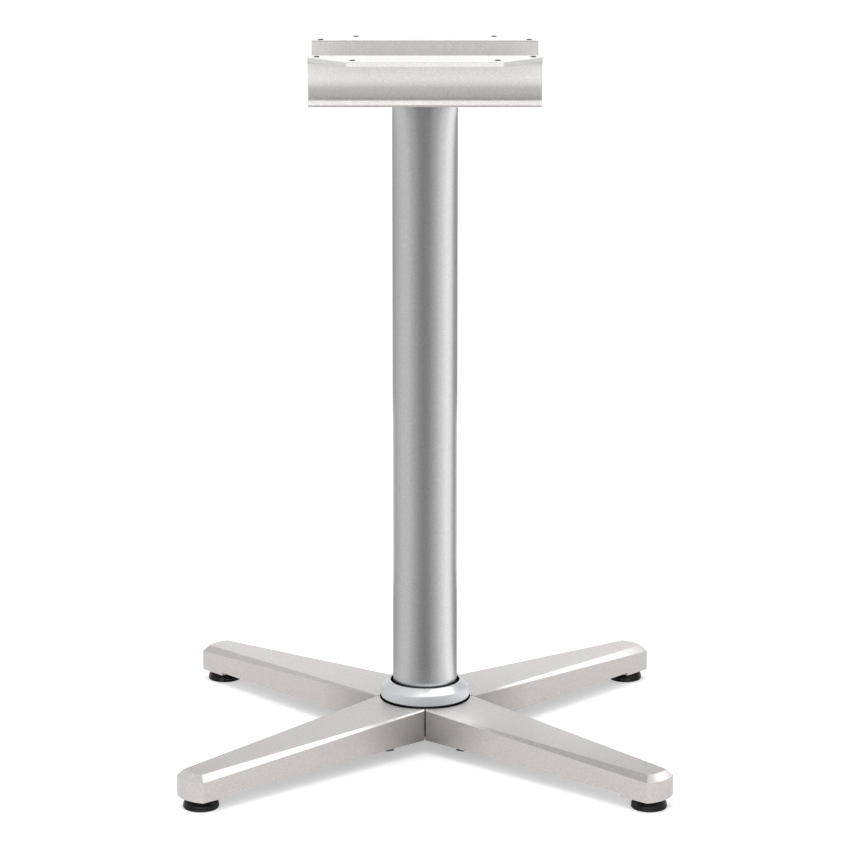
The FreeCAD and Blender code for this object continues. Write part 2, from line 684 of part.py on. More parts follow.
def cut_bracket_corners(body):
    sketch = make_sketch(body, "corner_outline", "XY_Plane", TOP_LEVEL)
    for first in (1, -1):
        for second in (1, -1):
            draw_polygon(sketch, [
                (f"{first} * (Sizes.head_half - {FLANGE_CUT} - {MARGIN})",
                 f"{second} * (Sizes.flange_reach + {MARGIN})"),
                (f"{first} * (Sizes.head_half + {MARGIN})",
                 f"{second} * (Sizes.flange_reach - {FLANGE_CUT} - {MARGIN})"),
                (f"{first} * (Sizes.head_half + {MARGIN})",
                 f"{second} * (Sizes.flange_reach + {MARGIN})"),
            ])
    extrude(body, "Pocket", "corners", sketch, "2 * Sizes.channel_wall")


def cut_bracket_holes(body):
    screws = make_sketch(body, "screw_holes", "XY_Plane", TOP_LEVEL)
    for place in four_places(INNER_HOLE) + four_places(OUTER_HOLE):
        draw_circle(screws, place, "Sizes.screw_hole")
    extrude(body, "Pocket", "screws", screws, "2 * Sizes.channel_wall")
    bolts = make_sketch(body, "bolt_holes", "XY_Plane", WEB_TOP)
    for place in four_places(HEAD_BOLT):
        draw_circle(bolts, place, "Sizes.bolt_radius + Sizes.bolt_clearance")
    extrude(body, "Pocket", "bolts", bolts, "2 * Sizes.channel_wall")


def make_head_fasteners():
    bolt = make_body("bracket_bolt_pattern")
    draw_bolt(bolt, "Sizes.bolt_flats", "Sizes.bolt_head", "Sizes.bolt_radius", "Sizes.head_bolt_length")
    washer = make_body("plain_washer_pattern")
    inner = "(Sizes.bolt_radius + Sizes.bolt_clearance)"
    draw_washer(washer, "Sizes.washer_radius", inner, "Sizes.washer_thick")
    places = four_places(HEAD_BOLT)
    above = f"{WEB_TOP} + Sizes.washer_thick"
    spread("bracket_bolts", bolt, places, above, flip=True)
    spread("bracket_washers", washer, places, WEB_TOP)


# Glides


def make_glide(name, angle):
    # The pad is moulded round the hexagon head of its stud.
    crown = "(Sizes.glide_height - Sizes.glide_gap)"
    pad = make_body(f"glide_pad_{name}")
    profile = make_sketch(pad, "profile", "XZ_Plane")
    draw_polygon(profile, [
        ("0", "0"), ("Sizes.glide_sole", "0"), ("Sizes.glide_radius", "Sizes.glide_rim_base"),
        ("Sizes.glide_radius", "Sizes.glide_rim_top"),
        ("Sizes.glide_shoulder", f"{crown} - Sizes.glide_shoulder_drop"), ("Sizes.glide_crown", crown),
        ("Sizes.stud_radius", crown), ("Sizes.stud_radius", "Sizes.stud_head_base"),
        ("0", "Sizes.stud_head_base"),
    ])
    turn(pad, "Revolution", "moulding", profile)
    pocket = make_sketch(pad, "head_pocket_outline", "XY_Plane", "Sizes.stud_head_base")
    draw_polygon(pocket, hexagon("Sizes.stud_flats"))
    extrude(pad, "Pocket", "head_pocket", pocket, "Sizes.stud_head_thick", reverse=True)
    stud = make_body(f"glide_stud_{name}")
    shape = make_sketch(stud, "profile", "XZ_Plane")
    chamfer_base = "(Sizes.stud_top - Sizes.stud_chamfer)"
    draw_polygon(shape, [
        ("0", "Sizes.stud_head_base"), ("Sizes.stud_radius", "Sizes.stud_head_base"),
        ("Sizes.stud_radius", chamfer_base),
        ("Sizes.stud_radius - Sizes.stud_chamfer", "Sizes.stud_top"), ("0", "Sizes.stud_top"),
    ])
    turn(stud, "Revolution", "turned", shape)
    head = make_sketch(stud, "head_outline", "XY_Plane", "Sizes.stud_head_base")
    draw_polygon(head, hexagon("Sizes.stud_flats"))
    extrude(stud, "Pad", "head", head, "Sizes.stud_head_thick")
    for body in (pad, stud):
        body.setExpression("Placement.Base.x", f"{GLIDE_REACH} * cos({angle})")
        body.setExpression("Placement.Base.y", f"{GLIDE_REACH} * sin({angle})")
        finish(body)


def build():
    for name, angle in LEGS:
        make_leg(name, angle)
    make_hub_plate()
    make_hub_fasteners()
    make_centre_bolt()
    make_column_foot()
    make_column_tube()
    make_trim_collar()
    make_top_plate()
    make_table_bracket()
    make_head_fasteners()
    for name, angle in LEGS:
        make_glide(name, angle)
    DOC.recompute()


def check():
    for item in DOC.Objects:
        if "Invalid" in item.State or "Error" in item.State:
            raise RuntimeError(f"{item.Label} failed: {item.State}")
    for node in NODES:
        if node.Shape.isNull() or not node.Shape.isValid():
            raise RuntimeError(f"{node.Label} has no valid shape")


def export():
    os.makedirs("parts", exist_ok=True)
    for node in NODES:
        node.Shape.exportStep(f"parts/{node.Label}.step")
        box = node.Shape.BoundBox
        print(f"{node.Label}: {len(node.Shape.Solids)} solid, {node.Shape.Volume:.0f} mm3, "
              f"z {box.ZMin:.1f} to {box.ZMax:.1f}")


build()
check()
export()
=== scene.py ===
import json
import math
from collections import namedtuple

import bmesh
import bpy
from bpy.props import FloatProperty, FloatVectorProperty, IntProperty, PointerProperty
from mathutils import Matrix, Vector

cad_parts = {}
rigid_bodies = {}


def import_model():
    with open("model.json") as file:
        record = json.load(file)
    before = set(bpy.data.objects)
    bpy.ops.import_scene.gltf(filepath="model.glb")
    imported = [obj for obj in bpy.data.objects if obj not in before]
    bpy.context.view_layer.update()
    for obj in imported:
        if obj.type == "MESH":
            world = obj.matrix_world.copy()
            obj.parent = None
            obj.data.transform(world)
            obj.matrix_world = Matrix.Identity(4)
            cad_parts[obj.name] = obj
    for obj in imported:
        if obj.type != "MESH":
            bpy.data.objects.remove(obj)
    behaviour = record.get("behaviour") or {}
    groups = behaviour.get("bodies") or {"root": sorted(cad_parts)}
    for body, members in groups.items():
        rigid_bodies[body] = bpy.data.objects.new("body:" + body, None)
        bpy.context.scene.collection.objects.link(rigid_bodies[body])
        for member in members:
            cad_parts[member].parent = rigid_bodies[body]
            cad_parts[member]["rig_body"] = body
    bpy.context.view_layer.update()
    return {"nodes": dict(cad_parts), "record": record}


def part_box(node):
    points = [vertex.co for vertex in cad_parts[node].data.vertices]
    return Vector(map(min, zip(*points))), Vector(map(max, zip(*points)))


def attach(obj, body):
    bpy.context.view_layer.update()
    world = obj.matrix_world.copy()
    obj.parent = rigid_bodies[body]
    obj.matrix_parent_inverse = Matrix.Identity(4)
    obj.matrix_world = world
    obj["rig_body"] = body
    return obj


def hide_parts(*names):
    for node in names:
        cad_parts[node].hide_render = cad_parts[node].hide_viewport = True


bl_info = {
    "name": "Four Star Table Base",
    "version": (1, 0, 0),
    "blender": (4, 5, 0),
    "location": "View3D > Sidebar > Table Base",
    "description": "Dresses the four star table base: cast legs, column, collar, bracket and glides",
    "category": "Object",
}

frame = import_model()
LEG_NAMES = ("front_left", "front_right", "rear_left", "rear_right")
MM = 0.001

# Screw holes in one quarter of the bracket, by their distances from the column along X and Y.
HOLES = ((69.7 * MM, 99.0 * MM), (104.6 * MM, 71.0 * MM))
HOLE_RADIUS = 2.75 * MM
HOLE_REACH = HOLE_RADIUS + 0.3 * MM

COLUMN_RADIUS = 32.5 * MM
COLLAR_RADIUS = 45.0 * MM
COLLAR_BORE = 35.0 * MM

# Fasteners: width across the flats, height of the head and radius of the shank.
Bolt = namedtuple("Bolt", "flats head radius")
SMALL_BOLT = Bolt(flats=13.0 * MM, head=5.3 * MM, radius=4.0 * MM)
LARGE_BOLT = Bolt(flats=18.0 * MM, head=7.5 * MM, radius=6.0 * MM)
STUD_RADIUS = 5.0 * MM
STUD_HEAD = 3.0 * MM
ROD_STEPS = 32
WASHER_ROUND = 0.15 * MM

# Joints between the legs: how far their dark line, and the shade painted beside them, reach from them.
JOINT_LINE = 0.6 * MM
JOINT_SHADE = 65.0 * MM

# Black in the paint of the legs and the bracket, for the dark joint lines and for painted shade in the
# screw holes, near the joints and round the collar's foot; and black painted as shade into the collar's
# bore and along its lower edge.
JOINT_AND_SHADE_BLACK = (0.008, 0.007, 0.007)
COLLAR_PAINTED_SHADE = (0.006, 0.006, 0.007)
WHITE = (1.0, 1.0, 1.0, 1.0)

# Vertices closer than this are one, in a copy of the frame and in a turned shape.
FRAME_MERGE = 0.004 * MM
SPIN_MERGE = 0.001 * MM

# Angles between faces: below the first they are one face, above the second their edge is rounded, and
# above the third it is shaded as an edge.
FLAT = math.radians(0.6)
SHARP = math.radians(25)
CREASE = math.radians(32)

# Tilts and turns of the cards of the stage.
UPRIGHT = math.pi / 2
DOWN = math.pi
SLANT = math.pi / 4


# Sizes and colours that a user would change


def colour(name, description, default):
    return FloatVectorProperty(
        name=name, description=description, default=default,
        subtype="COLOR", size=3, min=0.0, max=1.0,
    )


def length(name, description, default):
    return FloatProperty(name=name, description=description, default=default, unit="LENGTH", min=0.0)


def lamp_power(name, description, default):
    return FloatProperty(name=name, description=description, default=default, unit="POWER", min=0.0)


def light_strength(name, description, default):
    return FloatProperty(name=name, description=description, default=default, min=0.0)


class BaseSizes(bpy.types.PropertyGroup):
    """Edge rounds and fastener details."""
    cast_round: length("Cast edges", "Edge round of the legs", 0.9 * MM)
    sheet_round: length("Sheet edges", "Edge round of the bracket and plates", 0.6 * MM)
    trim_round: length("Collar edges", "Edge round of the collar", 0.8 * MM)
    head_chamfer: length("Bolt chamfer", "Chamfer on the corners of a bolt head", 0.9 * MM)
    thread_pitch: length("Thread pitch", "Pitch of the glide studs", 1.5 * MM)
    thread_height: length("Thread height", "Depth of the stud thread", 0.7 * MM)
    turned_steps: IntProperty(
        name="Turned steps", description="Sides of the column and the collar", default=128, min=24,
    )


class BaseColours(bpy.types.PropertyGroup):
    """Colours of the finishes."""
    leg: colour("Leg paint", "Silver paint of the legs", (0.672, 0.645, 0.637))
    bracket: colour("Bracket paint", "Silver paint of the bracket", (0.70, 0.685, 0.675))
    column: colour("Column paint", "Silver paint of the column", (0.68, 0.68, 0.685))
    collar: colour("Collar", "Grey of the moulded collar", (0.67, 0.69, 0.72))
    glide: colour("Glide", "Black of the glides", (0.004, 0.004, 0.004))
    black: colour("Black steel", "Coated steel under the hub", (0.022, 0.022, 0.024))
    zinc: colour("Zinc", "Plated studs and bolts", (0.62, 0.62, 0.60))


class StageSizes(bpy.types.PropertyGroup):
    """Camera and light."""
    camera_distance: length("Camera distance", "Camera in front of the column", 3.581)
    camera_height: length("Camera height", "Camera above the floor", 1.1397)
    camera_tilt: FloatProperty(
        name="Camera tilt", description="How far the camera looks down",
        default=math.radians(12.731), subtype="ANGLE",
    )
    lens: FloatProperty(name="Lens", description="Focal length", default=154.35, unit="CAMERA")
    front_power: lamp_power("Front light", "Power of the front lamp", 35.0)
    left_power: lamp_power("Left light", "Power of the left lamp", 24.0)
    right_power: lamp_power("Right light", "Power of the right lamp", 28.0)
    top_strength: light_strength("Top light", "Strength of the lamp overhead", 1.7)
    ambient: light_strength("Ambient", "Strength of the surroundings on what the camera doesn't see", 0.28)


# Shader maths


class Wire:
    """One output of a shader node, which adds, multiplies and compares like a number."""

    def __init__(self, finish, socket):
        self.finish = finish
        self.socket = socket

    def combine(self, operation, first, second):
        return self.finish.node("ShaderNodeMath", {0: first, 1: second}, operation=operation)

    def __add__(self, other):
        return self.combine("ADD", self, other)

    def __radd__(self, other):
        return self.combine("ADD", other, self)

    def __sub__(self, other):
        return self.combine("SUBTRACT", self, other)

    def __rsub__(self, other):
        return self.combine("SUBTRACT", other, self)

    def __mul__(self, other):
        return self.combine("MULTIPLY", self, other)

    def __rmul__(self, other):
        return self.combine("MULTIPLY", other, self)

    def __lt__(self, other):
        return self.combine("LESS_THAN", self, other)

    def __pow__(self, other):
        return self.combine("POWER", self, other)

    def __or__(self, other):
        """The larger of the two."""
        return self.combine("MAXIMUM", self, other)

    def __and__(self, other):
        """The smaller of the two."""
        return self.combine("MINIMUM", self, other)

    def size(self):
        """The number without its sign."""
        return self.combine("ABSOLUTE", self, 0.0)


class Finish:
    """A node tree under construction, of a material or of the world."""

    def __init__(self, owner):
        self.owner = owner
        owner.use_nodes = True
        self.tree = owner.node_tree
        self.tree.nodes.clear()

    def node(self, kind, inputs=None, output=0, **settings):
        """Adds a node: its settings, such as a ramp's stops, are set first, and then its inputs."""
        made = self.tree.nodes.new(kind)
        for key, value in settings.items():
            if key == "stops":
                self.set_stops(made.color_ramp, value)
            else:
                setattr(made, key, value)
        for key, value in (inputs or {}).items():
            if isinstance(value, Wire):
                self.tree.links.new(value.socket, made.inputs[key])
            else:
                made.inputs[key].default_value = value
        return Wire(self, made.outputs[output])

    def set_stops(self, ramp, stops):
        """Stops are given as place and grey level, in order."""
        ramp.interpolation = "EASE"
        ramp.elements.remove(ramp.elements[0])
        for index, (place, grey) in enumerate(stops.items()):
            stop = ramp.elements.new(place) if index else ramp.elements[0]
            stop.position = place
            stop.color = (grey, grey, grey, 1.0)

    def spot(self):
        return self.node("ShaderNodeTexCoord", output="Object")

    def noise(self, scale, detail, roughness=0.55):
        inputs = {"Vector": self.spot(), "Scale": scale, "Detail": detail, "Roughness": roughness}
        return self.node("ShaderNodeTexNoise", inputs)

    def flakes(self, scale):
        return self.node("ShaderNodeTexVoronoi", {"Vector": self.spot(), "Scale": scale}, output="Color")

    def place(self, axes):
        """The Object coordinates along the given axes."""
        parts = {"Vector": self.spot()}
        return [self.node("ShaderNodeSeparateXYZ", parts, output=axis) for axis in axes]

    def distance(self, first, second):
        return (first * first + second * second) ** 0.5

    def blend(self, amount, low, high):
        """Mixes two colours. The sockets of a Mix node share their names, so they go by number."""
        inputs = {0: amount, 6: low, 7: high}
        for key, value in inputs.items():
            if isinstance(value, tuple):
                inputs[key] = (*value, 1.0)
        return self.node("ShaderNodeMix", inputs, output=2, data_type="RGBA")

    def bump(self, relief, strength, depth):
        inputs = {"Height": relief, "Strength": strength, "Distance": depth}
        return self.node("ShaderNodeBump", inputs)

    def front_only(self, shader):
        """The shader in front, and nothing from behind."""
        behind = self.node("ShaderNodeNewGeometry", output="Backfacing")
        clear = self.node("ShaderNodeBsdfTransparent")
        return self.node("ShaderNodeMixShader", {0: behind, 1: shader, 2: clear})

    def principled(self, inputs):
        return self.node("ShaderNodeBsdfPrincipled", inputs)

    def end(self, shader):
        """The shader becomes the surface of the material, or the light of the world."""
        world = isinstance(self.owner, bpy.types.World)
        last = self.tree.nodes.new("ShaderNodeOutputWorld" if world else "ShaderNodeOutputMaterial")
        self.tree.links.new(shader.socket, last.inputs["Surface"])
        return self.owner


def tint(shade, factor):
    return tuple(channel * factor for channel in shade)


def new_finish(name):
    return Finish(bpy.data.materials.new(name))


# Finishes


def sandy_paint(name, shade, metallic, roughness, grain, depth, dark=None):
    """Silver powder paint: flakes in the colour, a sandy relief and slow cloudiness.

    Where dark gives 1, the paint is black and reflects nothing: painted shade, and on the legs also their
    dark joint lines.
    """
    finish = new_finish(name)
    cloud = finish.noise(scale=9.0, detail=4.0)
    sand = finish.noise(scale=grain, detail=2.0, roughness=0.6)
    sparkle = finish.node("ShaderNodeSeparateColor", {"Color": finish.flakes(grain)})
    amount = 0.35 * sand + 0.50 * sparkle + 0.15 * cloud
    shader = finish.principled({
        "Base Color": finish.blend(amount, tint(shade, 0.84), tint(shade, 1.16)),
        "Metallic": metallic,
        "Roughness": (roughness - 0.08) + 0.12 * sand + 0.04 * cloud,
        "Normal": finish.bump(sand + 0.4 * sparkle, strength=0.35, depth=depth),
        "Coat Weight": 0.12,
        "Coat Roughness": 0.22,
    })
    if dark:
        black = {"Base Color": (*JOINT_AND_SHADE_BLACK, 1.0), "Roughness": 1.0, "Specular IOR Level": 0.0}
        unlit = finish.principled(black)
        shader = finish.node("ShaderNodeMixShader", {0: dark(finish), 1: shader, 2: unlit})
    return finish.end(shader)


def painted_hole_shade(finish):
    """1 in the screw holes of the bracket and on marks before and behind them, where shade is painted
    black.
    """
    stretch = 0.6
    across, along = finish.place("XY")
    first, second = (
        finish.distance(across.size() - x, stretch * (along.size() - y)) < HOLE_REACH
        for x, y in HOLES
    )
    return first | second


def joint_lines_and_painted_shade(finish):
    """1 on the dark joint lines between the legs and on a painted shadow under and just round the collar's
    foot, and less on the upright faces near a joint, where shade is painted.

    The joints lie on the X and Y axes.
    """
    shade_strength = 0.40
    collar_shadow_reach = COLLAR_RADIUS + 1.2 * MM
    across, along = finish.place("XY")
    gap = across.size() & along.size()
    facing = finish.node("ShaderNodeNewGeometry", output="True Normal")
    upward = finish.node("ShaderNodeSeparateXYZ", {"Vector": facing}, output="Z")
    corner = 1.0 - gap * (1 / JOINT_SHADE)
    shade = (corner | 0.0) * (1.0 - upward.size())
    # Painted shadow on the leg tops, under and just round the collar's foot.
    painted_collar_shadow = finish.distance(across, along) < collar_shadow_reach
    return (gap < JOINT_LINE) | shade_strength * shade | painted_collar_shadow


def moulded_grey(name, shade, base):
    """Moulded collar with silver in it; shade is painted black into its bore and, as a painted shadow,
    along the lowest stretch of its outside.
    """
    painted_shadow_top = base + 1.3 * MM
    bore_reach = COLLAR_BORE + 0.2 * MM
    finish = new_finish(name)
    cloud = finish.noise(scale=14.0, detail=3.0)
    skin = finish.noise(scale=1400.0, detail=2.0)
    across, along, level = finish.place("XYZ")
    grey = finish.blend(cloud, tint(shade, 0.95), tint(shade, 1.05))
    # Painted shade: black in the bore, and a painted shadow along the lowest stretch of the outside.
    dark = (level < painted_shadow_top) | (finish.distance(across, along) < bore_reach)
    return finish.end(finish.principled({
        "Base Color": finish.blend(dark, grey, COLLAR_PAINTED_SHADE),
        "Metallic": 0.45,
        "Roughness": 0.30 + 0.06 * skin + 0.04 * cloud,
        "Normal": finish.bump(skin, strength=0.10, depth=0.01 * MM),
        "Coat Weight": 0.35,
        "Coat Roughness": 0.18,
    }))


def glossy_black(name, shade):
    """Moulded black of the glides, with fine scuffs in its gloss."""
    finish = new_finish(name)
    cloud = finish.noise(scale=60.0, detail=4.0)
    scuffs = finish.noise(scale=700.0, detail=4.0, roughness=0.7)
    return finish.end(finish.principled({
        "Base Color": finish.blend(cloud, tint(shade, 0.8), tint(shade, 1.5)),
        "Roughness": 0.10 + 0.10 * scuffs ** 2.0 + 0.05 * cloud,
        "Specular IOR Level": 0.10,
        "Normal": finish.bump(scuffs, strength=0.08, depth=0.03 * MM),
        "Coat Weight": 0.22,
        "Coat Roughness": 0.06,
    }))


def coated_black(name, shade):
    """Black coating on steel, with pits."""
    finish = new_finish(name)
    cloud = finish.noise(scale=40.0, detail=4.0)
    pits = finish.noise(scale=1800.0, detail=3.0, roughness=0.7)
    return finish.end(finish.principled({
        "Base Color": finish.blend(cloud, tint(shade, 0.7), tint(shade, 1.7)),
        "Specular IOR Level": 0.3,
        "Roughness": 0.42 + 0.20 * pits + 0.06 * cloud,
        "Normal": finish.bump(pits, strength=0.25, depth=0.1 * MM),
    }))


def zinc_plate(name, shade):
    """Bright zinc, cloudy and finely grained."""
    finish = new_finish(name)
    cloud = finish.noise(scale=120.0, detail=5.0, roughness=0.7)
    fine = finish.noise(scale=2200.0, detail=2.0)
    return finish.end(finish.principled({
        "Base Color": finish.blend(cloud, tint(shade, 0.82), (shade[0], shade[1], shade[2] * 0.92)),
        "Metallic": 1.0,
        "Roughness": 0.24 + 0.16 * cloud + 0.08 * fine,
        "Normal": finish.bump(fine + cloud, strength=0.15, depth=0.08 * MM),
    }))


def finish_for(slot):
    """Each slot's finish is made once, when the first piece asks for it."""
    name = f"{slot}_finish"
    found = bpy.data.materials.get(name)
    if found:
        return found
    shades = bpy.context.scene.base_colours
    makers = {
        # The paint of the legs and of the bracket gets painted shade from its dark mask.
        "leg_paint": lambda: sandy_paint(
            name, shades.leg, metallic=0.65, roughness=0.38,
            grain=1150.0, depth=0.06 * MM, dark=joint_lines_and_painted_shade,
        ),
        "bracket_paint": lambda: sandy_paint(
            name, shades.bracket, metallic=0.60, roughness=0.36,
            grain=1150.0, depth=0.05 * MM, dark=painted_hole_shade,
        ),
        "column_paint": lambda: sandy_paint(
            name, shades.column, metallic=1.0, roughness=0.30, grain=1300.0, depth=0.03 * MM,
        ),
        "collar_plastic": lambda: moulded_grey(name, shades.collar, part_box("trim_collar")[0].z),
        "glide_plastic": lambda: glossy_black(name, shades.glide),
        "black_steel": lambda: coated_black(name, shades.black),
        "zinc_steel": lambda: zinc_plate(name, shades.zinc),
    }
    return makers[slot]()


# Ways of making a piece


def new_object(name, data):
    made = bpy.data.objects.new(name, data)
    bpy.context.scene.collection.objects.link(made)
    return made


def new_mesh(name, shape, finish):
    """The finished bmesh becomes a mesh of one material."""
    mesh = bpy.data.meshes.new(name)
    shape.to_mesh(mesh)
    shape.free()
    mesh.materials.append(finish)
    return mesh


def body_name(node):
    return frame["nodes"][node]["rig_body"]


def slot_name(node):
    return next(part["material_slot"] for part in frame["record"]["subparts"] if part["node"] == node)


def stand_for(node, shape):
    """The finished bmesh becomes a piece that stands for a node of the frame."""
    slot = slot_name(node)
    mesh = new_mesh(f"{node}_finished", shape, finish_for(slot))
    mesh.shade_smooth()
    mesh.set_sharp_from_angle(angle=CREASE)
    piece = new_object(mesh.name, mesh)
    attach(piece, body_name(node))
    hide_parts(node)
    return piece


def bevel(shape, edges, radius, segments):
    bmesh.ops.bevel(
        shape, geom=edges, offset=radius, offset_type="OFFSET", segments=segments,
        profile=0.5, affect="EDGES", clamp_overlap=True, material=-1,
    )


def sharp_edges(shape):
    return [edge for edge in shape.edges if len(edge.link_faces) == 2 and edge.calc_face_angle() > SHARP]


def at_screw_hole(edge):
    middle = (edge.verts[0].co + edge.verts[1].co) / 2
    return any(math.hypot(abs(middle.x) - x, abs(middle.y) - y) < HOLE_REACH for x, y in HOLES)


def merged_copy(node):
    """The node's triangles as one connected bmesh."""
    shape = bmesh.new()
    shape.from_mesh(frame["nodes"][node].data)
    bmesh.ops.remove_doubles(shape, verts=shape.verts, dist=FRAME_MERGE)
    return shape


def dress(node, radius, kept_sharp=None):
    """A copy of a node with its edges rounded, apart from those that kept_sharp names."""
    shape = merged_copy(node)
    bmesh.ops.dissolve_limit(
        shape, angle_limit=FLAT, use_dissolve_boundaries=False, verts=shape.verts, edges=shape.edges,
    )
    edges = [edge for edge in sharp_edges(shape) if not (kept_sharp and kept_sharp(edge))]
    bevel(shape, edges, radius, segments=2)
    piece = stand_for(node, shape)
    piece.modifiers.new("Steady normals", "WEIGHTED_NORMAL").keep_sharp = True


def turned(profile, steps, closed=False, radius=0.0, turns=1, rise=0.0):
    """Spins a profile of (radius, height) points about the Z axis, with its sharp edges rounded.

    A thread makes several turns and rises at each step, and every other piece makes one level turn.
    """
    shape = bmesh.new()
    points = [shape.verts.new((reach, 0.0, height)) for reach, height in profile]
    pairs = list(zip(points, points[1:]))
    if closed:
        pairs.append((points[-1], points[0]))
    lines = [shape.edges.new(pair) for pair in pairs]
    bmesh.ops.spin(
        shape, geom=points + lines, cent=(0, 0, 0), axis=(0, 0, 1), dvec=(0, 0, rise),
        angle=math.tau * turns, steps=steps * turns, use_merge=not rise,
    )
    bmesh.ops.remove_doubles(shape, verts=shape.verts, dist=SPIN_MERGE)
    bmesh.ops.recalc_face_normals(shape, faces=shape.faces)
    if radius:
        bevel(shape, sharp_edges(shape), radius, segments=3)
    return shape


def add_copy(target, source, matrix):
    mesh = bpy.data.meshes.new("copy")
    source.to_mesh(mesh)
    mesh.transform(matrix)
    target.from_mesh(mesh)
    bpy.data.meshes.remove(mesh)


def add_turned(target, profile, steps, **settings):
    """Adds a turned shape to another one."""
    shape = turned(profile, steps, **settings)
    add_copy(target, shape, Matrix())
    shape.free()


def node_solids(node):
    """Centres of the separate solids of a node, from its merged copy."""
    shape = merged_copy(node)
    waiting = set(shape.verts)
    centres = []
    while waiting:
        stack = [waiting.pop()]
        found = list(stack)
        while stack:
            for edge in stack.pop().link_edges:
                for vertex in edge.verts:
                    if vertex in waiting:
                        waiting.discard(vertex)
                        stack.append(vertex)
                        found.append(vertex)
        low = Vector([min(vertex.co[axis] for vertex in found) for axis in range(3)])
        high = Vector([max(vertex.co[axis] for vertex in found) for axis in range(3)])
        centres.append((low + high) / 2)
    shape.free()
    return centres


def hexagon_head(flats, height, chamfer, turn=0.0):
    """A hexagon head below the origin, with the edges of its lower face chamfered."""
    shape = bmesh.new()
    ring = bmesh.ops.create_circle(shape, cap_ends=True, segments=6, radius=flats / math.sqrt(3))
    bmesh.ops.transform(shape, matrix=Matrix.Rotation(turn, 4, "Z"), verts=ring["verts"])
    pushed = bmesh.ops.extrude_face_region(shape, geom=list(shape.faces))
    lower = [item for item in pushed["geom"] if isinstance(item, bmesh.types.BMVert)]
    bmesh.ops.translate(shape, vec=(0, 0, -height), verts=lower)
    bmesh.ops.recalc_face_normals(shape, faces=shape.faces)
    rim = [edge for edge in shape.edges if all(vertex.co.z < -height / 2 for vertex in edge.verts)]
    bevel(shape, rim, chamfer, segments=2)
    return shape


def hexagon_bolt(size, shank):
    """A bolt that points up, with the underside of its head at the origin."""
    shape = hexagon_head(size.flats, size.head, bpy.context.scene.base_sizes.head_chamfer)
    tip = 0.2 * size.radius
    rod = [(0, 0), (size.radius, 0), (size.radius, shank - tip), (size.radius - tip, shank), (0, shank)]
    add_turned(shape, rod, ROD_STEPS)
    return shape


def bolt_group(node, size, pointing_down=False):
    """A bolt for each solid of the node, as long as the node is high."""
    low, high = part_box(node)
    bolt = hexagon_bolt(size, high.z - low.z - size.head)
    seat = high.z - size.head if pointing_down else low.z + size.head
    turn = Matrix.Rotation(math.pi, 4, "X") if pointing_down else Matrix()
    group = bmesh.new()
    for centre in node_solids(node):
        add_copy(group, bolt, Matrix.Translation((centre.x, centre.y, seat)) @ turn)
    bolt.free()
    stand_for(node, group)


# Operators, one for each piece or group of like pieces


class BASE_OT_legs(bpy.types.Operator):
    """Dresses the four cast legs"""
    bl_idname = "table_base.legs"
    bl_label = "Cast Legs"

    def execute(self, context):
        for name in LEG_NAMES:
            dress(f"leg_{name}", context.scene.base_sizes.cast_round)
        return {"FINISHED"}


class BASE_OT_hub(bpy.types.Operator):
    """Makes the plate under the hub with its bolts and washers"""
    bl_idname = "table_base.hub"
    bl_label = "Hub Plate and Bolts"

    def execute(self, context):
        plate_share = 0.6
        large_washer_round = 0.3 * MM
        dress("hub_plate", context.scene.base_sizes.sheet_round * plate_share)
        bolt_group("hub_bolts", SMALL_BOLT)
        dress("hub_lock_washers", WASHER_ROUND)
        bolt_group("centre_bolt", LARGE_BOLT)
        dress("centre_washer", large_washer_round)
        return {"FINISHED"}


class BASE_OT_column(bpy.types.Operator):
    """Turns the column tube and dresses the foot inside it"""
    bl_idname = "table_base.column"
    bl_label = "Column"

    def execute(self, context):
        low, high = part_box("column_tube")
        bore = COLUMN_RADIUS - 2.0 * MM
        tube_round = 0.2 * MM
        foot_round = 0.4 * MM
        profile = [(bore, low.z), (COLUMN_RADIUS, low.z), (COLUMN_RADIUS, high.z), (bore, high.z)]
        steps = context.scene.base_sizes.turned_steps
        stand_for("column_tube", turned(profile, steps, closed=True, radius=tube_round))
        dress("column_foot", foot_round)
        return {"FINISHED"}


class BASE_OT_collar(bpy.types.Operator):
    """Turns the collar round the foot of the column"""
    bl_idname = "table_base.collar"
    bl_label = "Collar"

    def execute(self, context):
        sizes = context.scene.base_sizes
        low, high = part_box("trim_collar")
        recess = 43.0 * MM
        step = 3.0 * MM
        wall = 11.6 * MM
        crown = 38.0 * MM
        profile = [
            (recess, low.z), (COLLAR_RADIUS, low.z), (COLLAR_RADIUS, low.z + wall), (crown, high.z),
            (COLLAR_BORE, high.z), (COLLAR_BORE, low.z + step), (recess, low.z + step),
        ]
        stand_for("trim_collar", turned(profile, sizes.turned_steps, closed=True, radius=sizes.trim_round))
        return {"FINISHED"}


class BASE_OT_head(bpy.types.Operator):
    """Dresses the top plate and the bracket and sets their bolts"""
    bl_idname = "table_base.head"
    bl_label = "Top Plate and Bracket"

    def execute(self, context):
        sizes = context.scene.base_sizes
        dress("top_plate", sizes.sheet_round)
        dress("table_bracket", sizes.sheet_round, kept_sharp=at_screw_hole)
        bolt_group("bracket_bolts", SMALL_BOLT, pointing_down=True)
        dress("bracket_washers", WASHER_ROUND)
        return {"FINISHED"}


